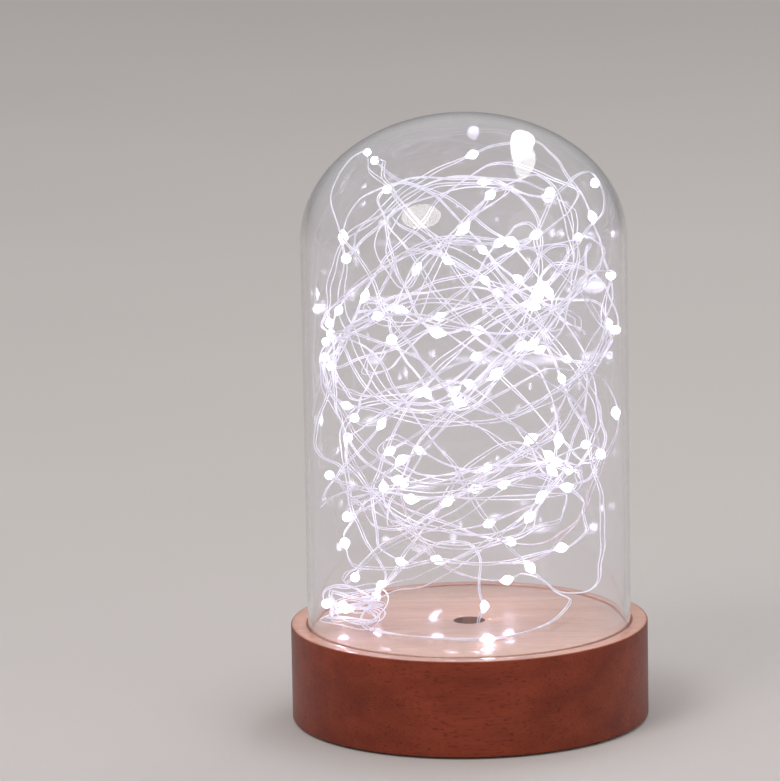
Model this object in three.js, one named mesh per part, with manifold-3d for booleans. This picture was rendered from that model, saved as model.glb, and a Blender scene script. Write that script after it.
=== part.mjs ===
// A cordless table lantern: a glass dome stands in the groove of a turned beech base, and a long
// light wire with white beads lies tangled under it. The wire comes up through a hole in the base
// from a circuit board, which shares a round plastic case with three AA cells under the wood.
// Millimetres, +Z up. The origin is on the floor, at the middle of the base.
import * as THREE from "three";
import { mergeVertices } from "three/addons/utils/BufferGeometryUtils.js";
import Module from "manifold-3d";

const wasm = await Module();
wasm.setup();

// Wooden base
const baseDiameter = 120;
const baseHeight = 33; // floor to the wood's top face
const baseEdge = 0.6; // bevel along the wood's outer edges
const grooveDepth = 5.5;
const wireHoleDiameter = 10.5;

// Rubber feet
const footDiameter = 9;
const footHeight = 1.8;
const footStandOff = 0.8; // height of the wood above the floor
const footCount = 4;

// Glass dome
const domeDiameter = 108.6;
const domeWall = 2;
const domeTop = 204.8; // floor to the dome's highest point
const domeCrownRise = 41.6; // height of the rounded top above the straight wall
const domeRimBevel = 0.4;

// Light wire
const wireDiameter = 1;
const lowLoops = 11; // loops in the lower half of the tangle, wound outwards
const highLoops = 12; // loops in the upper half, wound inwards
const loopSpacing = 1.9; // from one loop's shell to the next
const glassToWire = 2; // clear space between the glass and the outermost loop
const tangleFloor = 5.4; // height of the lowest loop's middle above the wood
const tangleLift = 21; // how much higher the loops stay over the front of the wood
const tangleSplit = 75; // height above the wood where the two halves meet
const tangleSplitTilt = 17; // how far that border leans up and down
const tangleCrown = 44; // how far up the crown the highest loop climbs, along the glass

// Beads, each a drop of clear resin over a chip
const beadDiameter = 3.4;
const beadLength = 5;
const beadPitch = 300; // every third bead of a wire that has one each 100 mm
const beadFirst = 45; // from the board to the first bead

// Battery cells, AA size
const cellCount = 3;
const cellDiameter = 14.2;
const cellLength = 50.3; // over the positive cap
const capDiameter = 5.2;
const capHeight = 1.4;

// Battery case
const caseFlange = 2.4; // thickness of the case's round face
const caseLedge = 7.85; // width of the face's rim that the screws hold
const caseWall = 1.6; // walls and roof of the cell bay
const caseInset = 0.2; // how far the case's face lies inside the wood's underside
const pocketRoom = 1.95; // from the corners of the cell bay to the wood around it
const wireRoom = 4.5; // height above the bay's roof, where the wire passes to the hole
const doorThickness = 1.8;
const doorBarrel = 2.4; // diameter of the door's hinge edge
const doorPinDiameter = 1.2;
const doorPinLength = 1;
const fingerNotchWidth = 14;
const fingerNotchDepth = 2.2;

// Contacts
const contactThickness = 0.4;
const contactWidth = 9;
const springWire = 0.8;
const springLength = 5;
const springWide = 8.6; // outer diameter at the contact plate
const springNarrow = 5.8; // outer diameter at the cell
const springCurls = 3.5;
const leadDiameter = 1; // wires from the contacts to the board

// Circuit board and switch
const boardWidth = 12;
const boardLength = 27;
const boardThickness = 1.6;
const boardGap = 1.3; // from the cell bay to the board
const chip = { aside: 2, place: 4.6, width: 3.9, length: 4.9, height: 1.5 };
const resistor = { aside: 2, place: -3, width: 1.6, length: 3.2, height: 0.6 };
const capacitor = { aside: 2.4, place: -7, diameter: 4, height: 5 };
const switchWidth = 5.2;
const switchHeight = 3.4;
const switchWall = 0.9;
const sliderLength = 3.2;
const sliderWidth = 2.6;
const sliderTravel = 3;
const sliderHeadLength = 4;
const sliderHeadHeight = 1.2;

// Screws
const caseScrewDiameter = 2.6;
const caseScrewLength = 9;
const caseScrewCount = 4;
const boardScrewDiameter = 1.6;
const boardScrewLength = 4;
const screwHeadShare = 2; // head diameter over shank diameter
const boardScrewHead = 0.8; // height of the head
const crossShare = 0.7; // length of the driver's cross over the head's diameter
const crossSlotShare = 0.16; // width of its slots over the head's diameter

// Clearances
const fit = 0.3; // between pieces that pass or carry each other
const seat = 0.1; // under flat pieces that lie on or against each other
const grooveClearance = 0.55; // on each side of the glass in its groove
const cellClearance = 0.4; // around a cell in its bay

// Heights and radii that follow from the sizes above
const woodBottom = footStandOff;
const caseBottom = woodBottom + caseInset;
const caseTop = caseBottom + caseFlange;
const cellAxis = caseTop + cellClearance + cellDiameter / 2;
const bayRoof = cellAxis + cellDiameter / 2 + cellClearance;
const caseRoof = bayRoof + caseWall;
const pocketTop = caseRoof + wireRoom;
const domeRadius = domeDiameter / 2;
const domeBore = domeRadius - domeWall;
const domeBottom = baseHeight - grooveDepth + fit;
const domeShoulder = domeTop - domeCrownRise;
const cellPitch = cellDiameter + cellClearance;
const bayWidth = cellCount * cellPitch + cellClearance;
const bayLength = 2 * (contactThickness + seat) + springLength + cellLength + 2 * fit;
const bayCorner = Math.hypot(bayWidth / 2 + caseWall, bayLength / 2 + caseWall);
const pocketDiameter = 2 * (bayCorner + pocketRoom);
const caseFlangeDiameter = pocketDiameter + 2 * caseLedge;
const caseScrewCircle = pocketDiameter + caseLedge;
const footCircle = (caseFlangeDiameter + baseDiameter) / 2;
const boardCentre = bayWidth / 2 + caseWall + boardGap + boardWidth / 2;
const wireRadius = wireDiameter / 2;

// Turns a closed geometry into a solid that can be joined and cut.
function toSolid(geometry) {
  const bare = geometry.clone();
  bare.deleteAttribute("normal");
  bare.deleteAttribute("uv");
  const merged = mergeVertices(bare, 1e-4);
  return new wasm.Manifold(
    new wasm.Mesh({
      numProp: 3,
      vertProperties: new Float32Array(merged.attributes.position.array),
      triVerts: new Uint32Array(merged.index.array),
    }),
  );
}

function toGeometry(solid) {
  const mesh = solid.getMesh();
  const geometry = new THREE.BufferGeometry();
  geometry.setAttribute("position", new THREE.BufferAttribute(mesh.vertProperties, 3));
  geometry.setIndex(new THREE.BufferAttribute(mesh.triVerts, 1));
  const faceted = geometry.toNonIndexed();
  faceted.computeVertexNormals();
  return faceted;
}

const cut = (body, ...tools) => tools.reduce((left, tool) => left.subtract(tool), body);
const join = (body, ...others) => others.reduce((left, other) => left.add(other), body);

// A box from one corner to the other.
function block(x0, x1, y0, y1, z0, z1) {
  const box = new THREE.BoxGeometry(x1 - x0, y1 - y0, z1 - z0);
  box.translate((x0 + x1) / 2, (y0 + y1) / 2, (z0 + z1) / 2);
  return toSolid(box);
}

// A box centred on x and y.
function slab(x, y, width, length, z0, z1) {
  return block(x - width / 2, x + width / 2, y - length / 2, y + length / 2, z0, z1);
}

// A round bar along Z.
function rod(x, y, diameter, z0, z1, sides = 20) {
  const bar = new THREE.CylinderGeometry(diameter / 2, diameter / 2, z1 - z0, sides);
  bar.rotateX(Math.PI / 2);
  bar.translate(x, y, (z0 + z1) / 2);
  return toSolid(bar);
}

// A round bar along X.
function crossRod(x0, x1, y, z, diameter, sides = 16) {
  const bar = new THREE.CylinderGeometry(diameter / 2, diameter / 2, x1 - x0, sides);
  bar.rotateZ(Math.PI / 2);
  bar.translate((x0 + x1) / 2, y, z);
  return toSolid(bar);
}

// Turns a profile of [radius, height] points about Z.
function turned(profile, sides) {
  const points = profile.map(([radius, height]) => new THREE.Vector2(radius, height));
  const shape = new THREE.LatheGeometry(points, sides);
  shape.rotateX(Math.PI / 2);
  return shape;
}

// One closed round tube through points, with flat ends.
function tube(points, radius, sides) {
  const count = points.length;
  const positions = [];
  const index = [];
  const step = (i) => points[Math.min(i + 1, count - 1)].clone().sub(points[Math.max(i - 1, 0)]);
  const along = step(0).normalize();
  const side = new THREE.Vector3(0, 0, 1).cross(along);
  if (side.length() < 0.1) side.set(1, 0, 0);
  side.normalize();
  for (let i = 0; i < count; i++) {
    const next = step(i).normalize();
    side.applyQuaternion(new THREE.Quaternion().setFromUnitVectors(along, next));
    along.copy(next);
    side.addScaledVector(along, -side.dot(along)).normalize();
    const up = along.clone().cross(side);
    for (let j = 0; j < sides; j++) {
      const angle = (2 * Math.PI * j) / sides;
      const p = points[i].clone();
      p.addScaledVector(side, radius * Math.cos(angle));
      p.addScaledVector(up, radius * Math.sin(angle));
      positions.push(p.x, p.y, p.z);
    }
  }
  for (let i = 0; i + 1 < count; i++)
    for (let j = 0; j < sides; j++) {
      const a = i * sides + j;
      const b = i * sides + ((j + 1) % sides);
      index.push(a, b, b + sides, a, b + sides, a + sides);
    }
  for (let j = 1; j + 1 < sides; j++) {
    const last = (count - 1) * sides;
    index.push(0, j + 1, j, last, last + j, last + j + 1);
  }
  const geometry = new THREE.BufferGeometry();
  geometry.setAttribute("position", new THREE.Float32BufferAttribute(positions, 3));
  geometry.setIndex(index);
  geometry.computeVertexNormals();
  return geometry;
}

// Places that a count of pieces takes around the axis.
function around(count, circle, turn = 0) {
  return Array.from({ length: count }, (_, i) => {
    const angle = turn + (2 * Math.PI * i) / count;
    return [(circle / 2) * Math.cos(angle), (circle / 2) * Math.sin(angle)];
  });
}

const finish = {
  wood: { color: 0xd9a679, roughness: 0.55, metalness: 0 },
  glass: { color: 0xf4f6fb, roughness: 0.03, metalness: 0, transparent: true, opacity: 0.25 },
  wire: { color: 0xd9dbe0, roughness: 0.3, metalness: 0.6 },
  bead: { color: 0xffffff, roughness: 0.2, metalness: 0, emissive: 0xe6e0ff },
  plastic: { color: 0xe9e6df, roughness: 0.5, metalness: 0 },
  black: { color: 0x1c1c1e, roughness: 0.5, metalness: 0 },
  rubber: { color: 0x3a3836, roughness: 0.85, metalness: 0 },
  steel: { color: 0xb9bcc0, roughness: 0.3, metalness: 1 },
  nickel: { color: 0xcfc9bd, roughness: 0.25, metalness: 1 },
  board: { color: 0x1d6b3a, roughness: 0.5, metalness: 0 },
  cell: { color: 0x3f6fb0, roughness: 0.35, metalness: 0.2 },
  red: { color: 0xb3201c, roughness: 0.5, metalness: 0 },
};

const lantern = new THREE.Group();

function place(name, shape, kind, parent = lantern) {
  const geometry = shape.isBufferGeometry ? shape : toGeometry(shape);
  const mesh = new THREE.Mesh(geometry, new THREE.MeshStandardMaterial(finish[kind]));
  mesh.name = name;
  parent.add(mesh);
  return mesh;
}

const footPlaces = around(footCount, footCircle, Math.PI / 4);
const caseScrewPlaces = around(caseScrewCount, caseScrewCircle, Math.PI / 4);
const caseScrewHead = caseScrewDiameter * screwHeadShare;
const caseScrewHeadHeight = caseFlange / 2;
const caseScrewSeat = caseBottom + caseScrewHeadHeight + seat;

// Holes that the feet sit in, from the wood's underside up.
const footSeats = () => footPlaces.map(([x, y]) =>
  rod(x, y, footDiameter + 2 * fit, -1, footHeight + seat, 16),
);

// Wooden base: turned from one piece, grooved for the glass and hollowed from below for the case
function woodBase() {
  const radius = baseDiameter / 2;
  const grooveOuter = domeRadius + grooveClearance;
  const grooveInner = domeBore - grooveClearance;
  const grooveFloor = baseHeight - grooveDepth;
  const profile = [
    [0, woodBottom],
    [radius - baseEdge, woodBottom],
    [radius, woodBottom + baseEdge],
    [radius, baseHeight - baseEdge],
    [radius - baseEdge, baseHeight],
    [grooveOuter, baseHeight],
    [grooveOuter, grooveFloor],
    [grooveInner, grooveFloor],
    [grooveInner, baseHeight],
    [0, baseHeight],
  ];
  const recess = rod(0, 0, caseFlangeDiameter + 2 * fit, -1, caseTop + seat, 64);
  const pocket = rod(0, 0, pocketDiameter, 0, pocketTop, 48);
  const hole = rod(0, 0, wireHoleDiameter, pocketTop - 1, baseHeight + 1, 24);
  const pilotTop = caseScrewSeat + caseScrewLength + fit;
  const pilots = caseScrewPlaces.map(([x, y]) =>
    rod(x, y, caseScrewDiameter + 2 * fit, caseTop - 1, pilotTop, 12),
  );
  return cut(toSolid(turned(profile, 64)), recess, pocket, hole, ...footSeats(), ...pilots);
}

// Glass dome: a straight wall with a flattened round top
function glassDome() {
  const arcSteps = 9;
  const profile = [];
  for (let i = 0; i <= arcSteps; i++) {
    const a = (Math.PI / 2) * (1 - i / arcSteps);
    profile.push([domeBore * Math.cos(a), domeShoulder + (domeCrownRise - domeWall) * Math.sin(a)]);
  }
  profile[0][0] = 0;
  profile.push(
    [domeBore, domeBottom + domeRimBevel],
    [domeBore + domeRimBevel, domeBottom],
    [domeRadius - domeRimBevel, domeBottom],
    [domeRadius, domeBottom + domeRimBevel],
  );
  for (let i = 0; i <= arcSteps; i++) {
    const a = (Math.PI / 2) * (i / arcSteps);
    profile.push([domeRadius * Math.cos(a), domeShoulder + domeCrownRise * Math.sin(a)]);
  }
  profile[profile.length - 1][0] = 0;
  return turned(profile, 56);
}

// Rubber feet
function foot() {
  const bevel = 0.4;
  const radius = footDiameter / 2;
  const profile = [
    [0, 0],
    [radius - bevel, 0],
    [radius, bevel],
    [radius, footHeight],
    [0, footHeight],
  ];
  return turned(profile, 16);
}

// Battery case: a round face with the cell bay, a slot for the switch and posts for the board
const hingeHeight = caseBottom + doorBarrel / 2;
const hingePlace = -(bayLength / 2) + doorBarrel / 2 + fit;
const boardBottom = caseTop + fit + switchHeight + seat;
const boardTop = boardBottom + boardThickness;
const boardPosts = [-1, 1].map((end) => [boardCentre, (end * (boardLength - 5)) / 2]);
const boardPostDiameter = boardScrewDiameter + 2 * fit + 2.4;

function batteryCase() {
  const outerWidth = bayWidth + 2 * caseWall;
  const outerLength = bayLength + 2 * caseWall;
  const posts = boardPosts.map(([x, y]) =>
    rod(x, y, boardPostDiameter, caseTop - seat, boardBottom - seat, 12),
  );
  const solid = join(
    rod(0, 0, caseFlangeDiameter, caseBottom, caseTop, 64),
    slab(0, 0, outerWidth, outerLength, caseTop - seat, caseRoof),
    ...posts,
  );
  const bay = slab(0, 0, bayWidth, bayLength, -1, bayRoof);
  const notch = block(
    -fingerNotchWidth / 2,
    fingerNotchWidth / 2,
    bayLength / 2 - 1,
    bayLength / 2 + fingerNotchDepth,
    0,
    caseBottom + caseFlange / 2,
  );
  const pinReach = bayWidth / 2 + doorPinLength + fit;
  const hinge = crossRod(-pinReach, pinReach, hingePlace, hingeHeight, doorPinDiameter + 2 * fit);
  const slot = slab(
    boardCentre,
    -sliderTravel / 2,
    sliderWidth + 2 * fit,
    sliderLength + sliderTravel + 2 * fit,
    0,
    caseTop + 1,
  );
  const heads = caseScrewPlaces.map(([x, y]) =>
    rod(x, y, caseScrewHead + 2 * fit, 0, caseScrewSeat, 16),
  );
  const shanks = caseScrewPlaces.map(([x, y]) =>
    rod(x, y, caseScrewDiameter + 2 * fit, 0, caseTop + 1, 12),
  );
  const threads = boardPosts.map(([x, y]) =>
    rod(x, y, boardScrewDiameter + 2 * fit, caseTop + 0.6, boardBottom + 1, 10),
  );
  const leadHoles = leads.map((lead) => crossRod(
    bayWidth / 2 - 1,
    outerWidth / 2 + 1,
    lead.exit.y,
    lead.exit.z,
    leadDiameter + 2 * fit,
    8,
  ));
  const screwCuts = [...heads, ...shanks, ...threads];
  return cut(solid, bay, notch, hinge, slot, ...screwCuts, ...leadHoles, ...footSeats());
}

// Battery door: a plate whose hinge edge turns on two pins in the case
function batteryDoor() {
  const width = bayWidth - 2 * fit;
  const plate = slab(
    0,
    (hingePlace + bayLength / 2 - fit) / 2,
    width,
    bayLength / 2 - fit - hingePlace,
    caseBottom,
    caseBottom + doorThickness,
  );
  const barrel = crossRod(-width / 2, width / 2, hingePlace, hingeHeight, doorBarrel);
  const pinReach = bayWidth / 2 + doorPinLength;
  const pin = crossRod(-pinReach, pinReach, hingePlace, hingeHeight, doorPinDiameter, 12);
  const grips = [-1, 0, 1].map((row) =>
    slab(0, bayLength / 2 - 6 + row * 2, fingerNotchWidth, 0.8, 0, caseBottom + doorThickness / 3),
  );
  return cut(join(plate, barrel, pin), ...grips);
}

// Cells: a can with its positive cap, lying along Y
function cell() {
  const radius = cellDiameter / 2;
  const bevel = 0.6;
  const half = cellLength / 2;
  const shoulder = half - capHeight;
  const profile = [
    [0, -half],
    [radius - bevel, -half],
    [radius, -half + bevel],
    [radius, shoulder - bevel],
    [radius - bevel, shoulder],
    [capDiameter / 2, shoulder],
    [capDiameter / 2, half],
    [0, half],
  ];
  return new THREE.LatheGeometry(
    profile.map(([r, y]) => new THREE.Vector2(r, y)),
    24,
  );
}

const cellPlaces = Array.from({ length: cellCount }, (_, i) => ({
  x: (i - (cellCount - 1) / 2) * cellPitch,
  towards: i % 2 ? -1 : 1, // the end of the bay that the positive cap faces
}));
const contactFace = bayLength / 2 - seat - contactThickness;
const cellShift = contactFace - fit - cellLength / 2; // of a cell's middle, towards its cap

// Contacts: plates that stand against the bay's ends, with a spring for each negative face
function contactPlate(x0, x1, end) {
  const y0 = end * contactFace;
  const y1 = end * (contactFace + contactThickness);
  const low = caseTop + cellClearance;
  const high = cellAxis + contactWidth / 2;
  return block(x0, x1, Math.min(y0, y1), Math.max(y0, y1), low, high);
}

function contactSpring(x, end) {
  const steps = Math.round(springCurls * 8);
  const points = [];
  for (let i = 0; i <= steps; i++) {
    const share = i / steps;
    const angle = 2 * Math.PI * springCurls * share;
    const radius = (springWide * (1 - share) + springNarrow * share - springWire) / 2;
    const y = end * (contactFace + contactThickness / 2 - share * (springLength - springWire / 2));
    points.push(new THREE.Vector3(x + radius * Math.cos(angle), y, cellAxis + radius * Math.sin(angle)));
  }
  return toSolid(tube(points, springWire / 2, 5));
}

// The pads at one end of the bay, joined in pairs so that the cells lie in series.
function contactsAt(end) {
  const pads = cellPlaces.map((place) => ({ x: place.x, sprung: place.towards !== end }));
  const groups = end > 0 ? [pads.slice(0, 2), pads.slice(2)] : [pads.slice(0, 1), pads.slice(1)];
  return groups
    .filter((group) => group.length)
    .map((group) => {
      const left = group[0].x - contactWidth / 2;
      const right = group[group.length - 1].x + contactWidth / 2;
      const springs = group.filter((pad) => pad.sprung).map((pad) => contactSpring(pad.x, end));
      return join(contactPlate(left, right, end), ...springs);
    });
}

// Leads from the two end contacts to the board
const leadHeight = bayRoof - 2;
const leads = [
  { name: "lead_positive", kind: "red", end: 1 },
  { name: "lead_negative", kind: "black", end: -1 },
].map((lead) => ({
  ...lead,
  exit: new THREE.Vector3(0, lead.end * (bayLength / 2 - springLength), leadHeight),
  pad: new THREE.Vector3(boardCentre - 3, lead.end * 7, boardTop + seat),
}));

function leadTube({ exit, pad }) {
  const start = bayWidth / 2 + caseWall / 2;
  const out = bayWidth / 2 + caseWall + 1.6;
  const curve = new THREE.CatmullRomCurve3([
    new THREE.Vector3(start, exit.y, exit.z),
    new THREE.Vector3(out, exit.y * 0.96, exit.z - 0.6),
    new THREE.Vector3(pad.x, (exit.y + 2 * pad.y) / 3, boardTop + 3.4),
    new THREE.Vector3(pad.x, pad.y, boardTop + 2),
    pad,
  ]);
  return tube(curve.getPoints(12), leadDiameter / 2, 6);
}

// Circuit board with what is soldered to it
function circuitBoard() {
  const plate = slab(boardCentre, 0, boardWidth, boardLength, boardBottom, boardTop);
  const holes = boardPosts.map(([x, y]) =>
    rod(x, y, boardScrewDiameter + 2 * fit, boardBottom - 1, boardTop + 1, 10),
  );
  return cut(plate, ...holes);
}

const onBoard = boardTop + seat;
const boardBlock = ({ aside, place: y, width, length, height }) =>
  slab(boardCentre + aside, y, width, length, onBoard, onBoard + height);
const boardCan = ({ aside, place: y, diameter, height }) =>
  rod(boardCentre + aside, y, diameter, onBoard, onBoard + height, 16);

// Slide switch: an open box under the board, with the slider that reaches through the case's face
const switchBottom = boardBottom - seat - switchHeight;
const sliderBottom = caseBottom + seat;
const sliderHeadTop = boardBottom - seat - switchWall - fit;

function switchBody() {
  const roomLength = sliderHeadLength + sliderTravel + 2 * fit;
  const body = slab(
    boardCentre,
    -sliderTravel / 2,
    switchWidth,
    roomLength + 2 * switchWall,
    switchBottom,
    boardBottom - seat,
  );
  const room = slab(
    boardCentre,
    -sliderTravel / 2,
    switchWidth - 2 * switchWall,
    roomLength,
    switchBottom - 1,
    boardBottom - seat - switchWall,
  );
  return cut(body, room);
}

function switchSlider() {
  const head = slab(
    boardCentre,
    0,
    switchWidth - 2 * switchWall - 2 * fit,
    sliderHeadLength,
    sliderHeadTop - sliderHeadHeight,
    sliderHeadTop,
  );
  const stem = slab(
    boardCentre,
    0,
    sliderWidth,
    sliderLength,
    sliderBottom,
    sliderHeadTop - sliderHeadHeight / 2,
  );
  const grips = [-1, 0, 1].map((row) =>
    slab(boardCentre, row, sliderWidth + 1, 0.4, 0, sliderBottom + 0.4),
  );
  return cut(join(head, stem), ...grips);
}

// Screws: head down, shank up
function screw(x, y, diameter, headHeight, length, seatHeight, up) {
  const head = diameter * screwHeadShare;
  const slotWidth = head * crossSlotShare;
  const base = Math.min(seatHeight, seatHeight - up * headHeight);
  const solid = join(
    rod(x, y, head, base, base + headHeight, 14),
    rod(x, y, diameter, Math.min(seatHeight, seatHeight + up * length),
      Math.max(seatHeight, seatHeight + up * length), 10),
  );
  const face = seatHeight - up * headHeight;
  const low = Math.min(face - up, face + (up * headHeight) / 2);
  const high = Math.max(face - up, face + (up * headHeight) / 2);
  return cut(
    solid,
    slab(x, y, head * crossShare, slotWidth, low, high),
    slab(x, y, slotWidth, head * crossShare, low, high),
  );
}

// Light wire: up from the board, through the hole, once around on the wood, then into the tangle
const ease = (x) => {
  const share = Math.min(Math.max(x, 0), 1);
  return share * share * (3 - 2 * share);
};

// A place in the tangle, at a number of loops from its start. Each loop lies on a shell of its
// own inside the glass, so that the wire never meets itself, and wanders up and down on it.
const tangleTurn = 0.9;
const tangleFront = 1.1; // turn from the front of the lantern, a little to the right, to the X axis

function tanglePoint(loops) {
  const angle = 2 * Math.PI * loops + tangleTurn;
  const depth = loopSpacing * Math.abs(loops - lowLoops);
  const high = ease((loops - lowLoops + 0.45) / 0.9);
  const leanShare = (0.5 - 0.1 * high) * (1 + 0.35 * Math.sin(1.9 * loops + 0.6));
  const lean = leanShare * Math.sin(angle + 2.35 * loops + 0.9 * Math.sin(0.83 * loops) - 2.4);
  const drift = 0.5 * Math.sin(1.37 * loops - 1.2) + 0.18 * Math.sin(2.9 * loops - 1);
  const bend = 0.09 * Math.sin(2 * angle + 1.1 * loops) + 0.045 * Math.sin(3 * angle - 0.7 * loops);
  const wander = Math.tanh(1.15 * (lean + drift + bend)) / Math.tanh(1.15 * 1.15);
  const share = 0.5 + 0.5 * Math.min(Math.max(wander, -1), 1);
  const split = baseHeight + tangleSplit + tangleSplitTilt * Math.sin(angle + 0.6);
  const apart = loopSpacing * 0.6;
  const lift = tangleLift * (0.5 + 0.5 * Math.cos(angle + tangleFront));
  const bottom = (baseHeight + tangleFloor + lift) * (1 - high) + (split + apart) * high;
  const top = (split - apart) * (1 - high) + (domeShoulder + tangleCrown) * high;
  const height = bottom + (top - bottom) * share;
  const shellRadius = domeBore - glassToWire - wireRadius - depth;
  const shellRise = domeCrownRise - domeWall - glassToWire - wireRadius - depth;
  const climb = Math.max(height - domeShoulder, 0) / (domeCrownRise - domeWall - glassToWire);
  const z = climb > 0 ? domeShoulder + shellRise * Math.sin(climb) : height;
  const squeeze = 1 - 0.08 * (0.5 + 0.5 * Math.sin(2 * angle + z / 24));
  const radius = shellRadius * squeeze * Math.cos(climb);
  return new THREE.Vector3(radius * Math.cos(angle), radius * Math.sin(angle), z);
}

// The wire's way from the board to the tangle, by points chosen by hand.
const leadInSteps = 44;

function leadInPoints() {
  const wood = baseHeight;
  const lying = wood + beadDiameter / 2 + fit;
  const passing = (caseRoof + pocketTop) / 2;
  const start = new THREE.Vector3(boardCentre - 3, 0, boardTop + seat);
  const fixed = [start, start.clone().setZ(start.z + wireDiameter)];
  const route = [
    start.clone().setZ(start.z + 5),
    new THREE.Vector3(boardCentre - 5, 0.6, passing - 1.4),
    new THREE.Vector3(19, 1.4, passing),
    new THREE.Vector3(10, 1.2, passing - 0.2),
    new THREE.Vector3(5, 0.8, passing + 0.5),
    new THREE.Vector3(3, 0.4, pocketTop + 2),
    new THREE.Vector3(2.8, 0.2, wood - 2),
    new THREE.Vector3(3.6, 0, wood + 1.5),
    new THREE.Vector3(5.2, -0.6, wood + 5.5),
    new THREE.Vector3(5.2, 0, wood + 11),
    new THREE.Vector3(4.6, 1.6, wood + 17),
    new THREE.Vector3(0, 5, wood + 21.3),
    new THREE.Vector3(-10, 9, wood + 21),
    new THREE.Vector3(-21, 11, wood + 15),
    new THREE.Vector3(-31, 8, wood + 6),
    new THREE.Vector3(-36, -1, lying + 0.6),
    new THREE.Vector3(-34, -16, lying),
    new THREE.Vector3(-21, -28, lying),
    new THREE.Vector3(-6, -34, lying),
    new THREE.Vector3(8, -34, lying),
    new THREE.Vector3(20, -24, lying),
    new THREE.Vector3(29, -10, lying + 0.5),
    new THREE.Vector3(34, 4, lying + 4),
    new THREE.Vector3(29, 15, wood + 9),
  ];
  const curve = new THREE.CatmullRomCurve3([fixed[1], ...route, tanglePoint(0)], false, "centripetal");
  const points = curve.getSpacedPoints(leadInSteps);
  points.pop();
  return [fixed[0], ...points];
}

const stepsPerLoop = 24;

function wirePoints() {
  const steps = Math.round((lowLoops + highLoops) * stepsPerLoop);
  const points = leadInPoints();
  for (let i = 0; i <= steps; i++) points.push(tanglePoint(i / stepsPerLoop));
  return points;
}

// The least distance between two straight stretches.
function stretchDistance(a0, a1, b0, b1) {
  const a = a1.clone().sub(a0);
  const b = b1.clone().sub(b0);
  const between = a0.clone().sub(b0);
  const aa = a.dot(a);
  const bb = b.dot(b);
  const ab = a.dot(b);
  const af = a.dot(between);
  const bf = b.dot(between);
  const flat = aa * bb - ab * ab;
  const clamp = (x) => Math.min(Math.max(x, 0), 1);
  let s = flat > 1e-9 ? clamp((ab * bf - af * bb) / flat) : 0;
  const t = clamp((ab * s + bf) / bb);
  s = clamp((ab * t - af) / aa);
  return a0.clone().addScaledVector(a, s).distanceTo(b0.clone().addScaledVector(b, t));
}

// Distance from stretch i of the wire to the nearest stretch that isn't beside it.
function nearestOther(points, i, beside) {
  let least = Infinity;
  for (let j = 0; j + 1 < points.length; j++) {
    if (Math.abs(i - j) <= beside) continue;
    if (points[i].distanceTo(points[j]) > 30) continue;
    least = Math.min(least, stretchDistance(points[i], points[i + 1], points[j], points[j + 1]));
  }
  return least;
}

const route = wirePoints();
const leastGap = Math.min(...route.slice(1).map((_, i) => nearestOther(route, i, 3))) - wireDiameter;
console.log(`light wire: least gap to itself ${leastGap.toFixed(2)} mm`);
const wireLength = route.slice(1).reduce((sum, point, i) => sum + point.distanceTo(route[i]), 0);
console.log(`light wire: ${wireLength.toFixed(0)} mm long`);

// Beads: one at each pitch along the wire, moved to the nearest stretch with room for it
function beadPlaces() {
  const along = [0];
  for (let i = 1; i < route.length; i++) along.push(along[i - 1] + route[i].distanceTo(route[i - 1]));
  const clear = beadDiameter / 2 + wireRadius + fit;
  const roomy = (i) => route[i].distanceTo(route[i + 1]) > beadLength + 2 * fit
    && nearestOther(route, i, 1) > clear;
  const places = [];
  for (let target = beadFirst; target < along[along.length - 1]; target += beadPitch) {
    const nominal = Math.min(along.findIndex((length) => length > target), route.length - 2);
    const order = Array.from({ length: 2 * stepsPerLoop }, (_, i) =>
      nominal + (i % 2 ? (i + 1) / 2 : -i / 2),
    );
    const far = (i) => places.every((j) => route[j].distanceTo(route[i]) > 2 * beadDiameter);
    const chosen = order.find((i) => i > 0 && i + 1 < route.length && roomy(i) && far(i));
    if (chosen !== undefined) places.push(chosen);
  }
  return places;
}

function bead() {
  const bore = wireRadius + fit;
  const half = beadLength / 2;
  const radius = beadDiameter / 2;
  const profile = [
    [bore, -half],
    [radius, -half / 3],
    [radius, half / 3],
    [bore, half],
    [bore, -half],
  ];
  return new THREE.LatheGeometry(
    profile.map(([r, y]) => new THREE.Vector2(r, y)),
    8,
  );
}

// The assembly
place("wood_base", woodBase(), "wood");
footPlaces.forEach(([x, y], i) => {
  place(`rubber_foot_${i + 1}`, foot(), "rubber").position.set(x, y, 0);
});

place("battery_case", batteryCase(), "plastic");
place("battery_door", batteryDoor(), "plastic");
caseScrewPlaces.forEach(([x, y], i) => {
  const shape = screw(
    x,
    y,
    caseScrewDiameter,
    caseScrewHeadHeight,
    caseScrewLength,
    caseScrewSeat - seat,
    1,
  );
  place(`case_screw_${i + 1}`, shape, "steel");
});

cellPlaces.forEach(({ x, towards }, i) => {
  const battery = place(`battery_${i + 1}`, cell(), "cell");
  battery.position.set(x, towards * cellShift, cellAxis);
  battery.rotation.z = towards > 0 ? 0 : Math.PI;
});
contactsAt(1).forEach((shape, i) => {
  place(["contact_bridge_rear", "contact_positive"][i], shape, "nickel");
});
contactsAt(-1).forEach((shape, i) => {
  place(["contact_negative", "contact_bridge_front"][i], shape, "nickel");
});
leads.forEach((lead) => place(lead.name, leadTube(lead), lead.kind));

place("circuit_board", circuitBoard(), "board");
boardPosts.forEach(([x, y], i) => {
  const shape = screw(x, y, boardScrewDiameter, boardScrewHead, boardScrewLength, boardTop + seat, -1);
  place(`board_screw_${i + 1}`, shape, "steel");
});
place("driver_chip", boardBlock(chip), "black");
place("resistor", boardBlock(resistor), "black");
place("capacitor", boardCan(capacitor), "steel");
place("switch_body", switchBody(), "steel");
place("switch_slider", switchSlider(), "black");

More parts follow.
